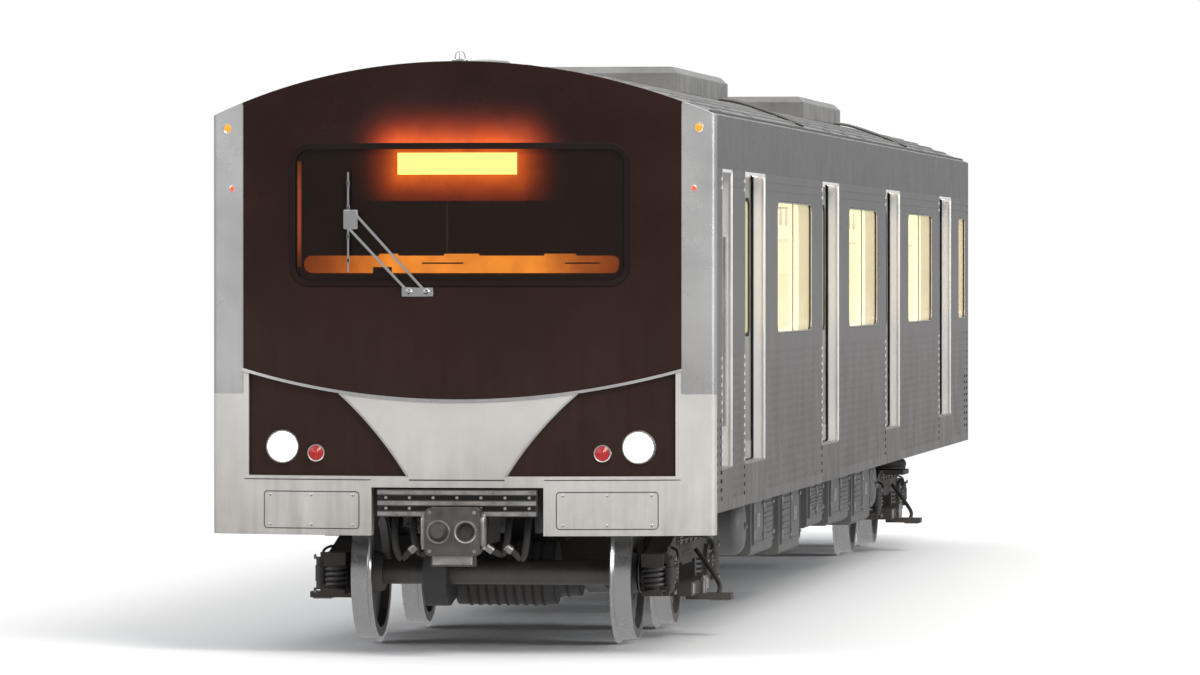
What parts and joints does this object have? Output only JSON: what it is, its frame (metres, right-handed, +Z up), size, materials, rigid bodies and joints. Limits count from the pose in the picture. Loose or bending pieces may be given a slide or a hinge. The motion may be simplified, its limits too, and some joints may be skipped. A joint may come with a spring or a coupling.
{
  "type": "metro driving car",
  "caption": "Stainless metro driving car with a dark bowed front, pocket sliding doors, a cab and a saloon, on two swivelling bogies with free-rolling wheelsets.",
  "frame": {"origin": "centre of the car's length and width, at the bottom of the wheel flanges", "axes": "+X to the right seen from in front, -Y towards the driver's cab, +Z up"},
  "size_m": [3.17, 21.75, 3.798],
  "materials": {
    "stainless": "brushed and fluted",
    "bright_stainless": "bright brushed",
    "roof_metal": "dull grey",
    "mask": "dark gloss",
    "front_pale": "satin pale grey",
    "glass": "clear with a grey tint",
    "screen_glass": "laminated, darkly tinted",
    "head_lens": "clear lens over a lit lamp",
    "tail_lens": "red lens",
    "marker_lens": "amber lens",
    "sign": "dark screen with blank amber rows",
    "frame_metal": "black",
    "equipment_grey": "dull dark grey",
    "coupler_iron": "bare, worn",
    "wheel_steel": "dull with bright treads",
    "bellows_rubber": "matt",
    "motor_casing": "grey, ribbed",
    "interior_panel": "pale cream laminate",
    "floor_rubber": "speckled grey sheet",
    "bench_plastic": "moulded blue-grey",
    "pole_steel": "polished",
    "desk_plastic": "dark grey moulding",
    "driver_seat_cover": "dark woven",
    "light_panel": "opal diffuser"
  },
  "bodies": {
    "carbody": {"underframe": "frame_metal", "floor": "floor_rubber", "side_panels_left": "stainless", "side_panels_right": "stainless", "side_glass": "glass", "roof": "roof_metal", "ceiling": "interior_panel", "rear_end_wall": "stainless", "cab_bulkhead": "interior_panel", "front_mask": "mask", "windscreen": "screen_glass", "corner_pillars": "bright_stainless", "lower_front_panel": "front_pale", "headlamp_pods": "mask", "headlamps": "head_lens", "tail_lamps": "tail_lens", "marker_lamps": "marker_lens", "destination_sign": "sign", "anticlimber": "frame_metal", "front_coupler": "coupler_iron", "rear_drawbar": "coupler_iron", "drivers_desk": "desk_plastic", "drivers_seat": "driver_seat_cover", "saloon_seats": "bench_plastic", "grab_poles": "pole_steel", "ceiling_lights": "light_panel", "roof_units": "roof_metal", "underfloor_equipment": "equipment_grey"},
    "front_bogie": {"front_bogie_frame": "frame_metal", "front_air_springs": "bellows_rubber", "front_motors": "motor_casing"},
    "rear_bogie": {"rear_bogie_frame": "frame_metal", "rear_air_springs": "bellows_rubber", "rear_motors": "motor_casing"},
    "wheelset_1": {"wheelset_1": "wheel_steel"},
    "wheelset_2": {"wheelset_2": "wheel_steel"},
    "wheelset_3": {"wheelset_3": "wheel_steel"},
    "wheelset_4": {"wheelset_4": "wheel_steel"},
    "door_left_1_front": {"door_left_1_front": "stainless"},
    "door_left_1_rear": {"door_left_1_rear": "stainless"},
    "door_left_2_front": {"door_left_2_front": "stainless"},
    "door_left_2_rear": {"door_left_2_rear": "stainless"},
    "door_left_3_front": {"door_left_3_front": "stainless"},
    "door_left_3_rear": {"door_left_3_rear": "stainless"},
    "door_left_4_front": {"door_left_4_front": "stainless"},
    "door_left_4_rear": {"door_left_4_rear": "stainless"},
    "door_right_1_front": {"door_right_1_front": "stainless"},
    "door_right_1_rear": {"door_right_1_rear": "stainless"},
    "door_right_2_front": {"door_right_2_front": "stainless"},
    "door_right_2_rear": {"door_right_2_rear": "stainless"},
    "door_right_3_front": {"door_right_3_front": "stainless"},
    "door_right_3_rear": {"door_right_3_rear": "stainless"},
    "door_right_4_front": {"door_right_4_front": "stainless"},
    "door_right_4_rear": {"door_right_4_rear": "stainless"},
    "cab_door_left": {"cab_door_left": "stainless"},
    "cab_door_right": {"cab_door_right": "stainless"},
    "rear_door": {"rear_door": "stainless"},
    "partition_door": {"partition_door": "interior_panel"}
  },
  "joints": [
    {"name": "front_bogie_swivel", "type": "hinge", "parent": "carbody", "child": "front_bogie", "pos_m": [0, -7.62, 0.7], "axis": [0, 0, 1], "range_deg": [-5, 5]},
    {"name": "rear_bogie_swivel", "type": "hinge", "parent": "carbody", "child": "rear_bogie", "pos_m": [0, 7.62, 0.7], "axis": [0, 0, 1], "range_deg": [-5, 5]},
    {"name": "wheelset_1_roll", "type": "hinge", "parent": "front_bogie", "child": "wheelset_1", "pos_m": [0, -8.685, 0.458], "axis": [1, 0, 0], "continuous": true},
    {"name": "wheelset_2_roll", "type": "hinge", "parent": "front_bogie", "child": "wheelset_2", "pos_m": [0, -6.555, 0.458], "axis": [1, 0, 0], "continuous": true},
    {"name": "wheelset_3_roll", "type": "hinge", "parent": "rear_bogie", "child": "wheelset_3", "pos_m": [0, 6.555, 0.458], "axis": [1, 0, 0], "continuous": true},
    {"name": "wheelset_4_roll", "type": "hinge", "parent": "rear_bogie", "child": "wheelset_4", "pos_m": [0, 8.685, 0.458], "axis": [1, 0, 0], "continuous": true},
    {"name": "door_left_1_front_slide", "type": "slide", "parent": "carbody", "child": "door_left_1_front", "axis": [0, -1, 0], "range_m": [0, 0.64]},
    {"name": "door_left_1_rear_slide", "type": "slide", "parent": "carbody", "child": "door_left_1_rear", "axis": [0, 1, 0], "range_m": [0, 0.64]},
    {"name": "door_left_2_front_slide", "type": "slide", "parent": "carbody", "child": "door_left_2_front", "axis": [0, -1, 0], "range_m": [0, 0.64]},
    {"name": "door_left_2_rear_slide", "type": "slide", "parent": "carbody", "child": "door_left_2_rear", "axis": [0, 1, 0], "range_m": [0, 0.64]},
    {"name": "door_left_3_front_slide", "type": "slide", "parent": "carbody", "child": "door_left_3_front", "axis": [0, -1, 0], "range_m": [0, 0.64]},
    {"name": "door_left_3_rear_slide", "type": "slide", "parent": "carbody", "child": "door_left_3_rear", "axis": [0, 1, 0], "range_m": [0, 0.64]},
    {"name": "door_left_4_front_slide", "type": "slide", "parent": "carbody", "child": "door_left_4_front", "axis": [0, -1, 0], "range_m": [0, 0.64]},
    {"name": "door_left_4_rear_slide", "type": "slide", "parent": "carbody", "child": "door_left_4_rear", "axis": [0, 1, 0], "range_m": [0, 0.64]},
    {"name": "door_right_1_front_slide", "type": "slide", "parent": "carbody", "child": "door_right_1_front", "axis": [0, -1, 0], "range_m": [0, 0.64]},
    {"name": "door_right_1_rear_slide", "type": "slide", "parent": "carbody", "child": "door_right_1_rear", "axis": [0, 1, 0], "range_m": [0, 0.64]},
    {"name": "door_right_2_front_slide", "type": "slide", "parent": "carbody", "child": "door_right_2_front", "axis": [0, -1, 0], "range_m": [0, 0.64]},
    {"name": "door_right_2_rear_slide", "type": "slide", "parent": "carbody", "child": "door_right_2_rear", "axis": [0, 1, 0], "range_m": [0, 0.64]},
    {"name": "door_right_3_front_slide", "type": "slide", "parent": "carbody", "child": "door_right_3_front", "axis": [0, -1, 0], "range_m": [0, 0.64]},
    {"name": "door_right_3_rear_slide", "type": "slide", "parent": "carbody", "child": "door_right_3_rear", "axis": [0, 1, 0], "range_m": [0, 0.64]},
    {"name": "door_right_4_front_slide", "type": "slide", "parent": "carbody", "child": "door_right_4_front", "axis": [0, -1, 0], "range_m": [0, 0.64]},
    {"name": "door_right_4_rear_slide", "type": "slide", "parent": "carbody", "child": "door_right_4_rear", "axis": [0, 1, 0], "range_m": [0, 0.64]},
    {"name": "cab_door_left_hinge", "type": "hinge", "parent": "carbody", "child": "cab_door_left", "pos_m": [-1.423, -9.3, 2], "axis": [0, 0, 1], "range_deg": [0, 90]},
    {"name": "cab_door_right_hinge", "type": "hinge", "parent": "carbody", "child": "cab_door_right", "pos_m": [1.423, -9.3, 2], "axis": [0, 0, -1], "range_deg": [0, 90]},
    {"name": "rear_door_hinge", "type": "hinge", "parent": "carbody", "child": "rear_door", "pos_m": [0.325, 10.413, 2], "axis": [0, 0, 1], "range_deg": [0, 90]},
    {"name": "partition_door_hinge", "type": "hinge", "parent": "carbody", "child": "partition_door", "pos_m": [0.32, -8.808, 2], "axis": [0, 0, -1], "range_deg": [0, 90]}
  ],
  "couplings": [
    {"joint": "door_left_1_rear_slide", "follows": "door_left_1_front_slide", "ratio": 1},
    {"joint": "door_left_2_rear_slide", "follows": "door_left_2_front_slide", "ratio": 1},
    {"joint": "door_left_3_rear_slide", "follows": "door_left_3_front_slide", "ratio": 1},
    {"joint": "door_left_4_rear_slide", "follows": "door_left_4_front_slide", "ratio": 1},
    {"joint": "door_right_1_rear_slide", "follows": "door_right_1_front_slide", "ratio": 1},
    {"joint": "door_right_2_rear_slide", "follows": "door_right_2_front_slide", "ratio": 1},
    {"joint": "door_right_3_rear_slide", "follows": "door_right_3_front_slide", "ratio": 1},
    {"joint": "door_right_4_rear_slide", "follows": "door_right_4_front_slide", "ratio": 1}
  ]
}
